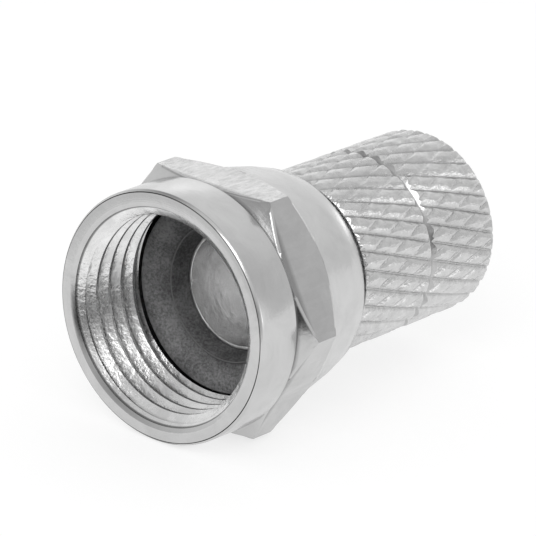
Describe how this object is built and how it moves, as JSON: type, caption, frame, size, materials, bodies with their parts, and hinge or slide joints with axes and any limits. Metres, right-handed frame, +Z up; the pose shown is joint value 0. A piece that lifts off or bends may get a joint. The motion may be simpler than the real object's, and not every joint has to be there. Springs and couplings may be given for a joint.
{
  "type": "twist-on f connector plug",
  "caption": "Male threaded coax plug: hexagon coupling nut that spins on a diamond-knurled sleeve, with a rubber seal ring inside the nut.",
  "frame": {"origin": "centre of the coupling nut's mouth, in the plane of its front face", "axes": "+Y along the plug's axis from the mouth to the cable end, +Z up, so the plug lies on one flat of its hexagon"},
  "size_m": [0.0124, 0.018, 0.0112],
  "materials": {
    "nut_metal": "bright nickel plating on turned brass",
    "body_metal": "nickel plating on turned and knurled brass",
    "seal_rubber": "matt black moulded rubber"
  },
  "bodies": {
    "body": {"knurled_body": "body_metal", "seal_ring": "seal_rubber"},
    "nut": {"coupling_nut": "nut_metal"}
  },
  "joints": [
    {"name": "nut_spin", "type": "hinge", "parent": "body", "child": "nut", "pos_m": [0, 0.0075, 0], "axis": [0, 1, 0], "continuous": true}
  ]
}
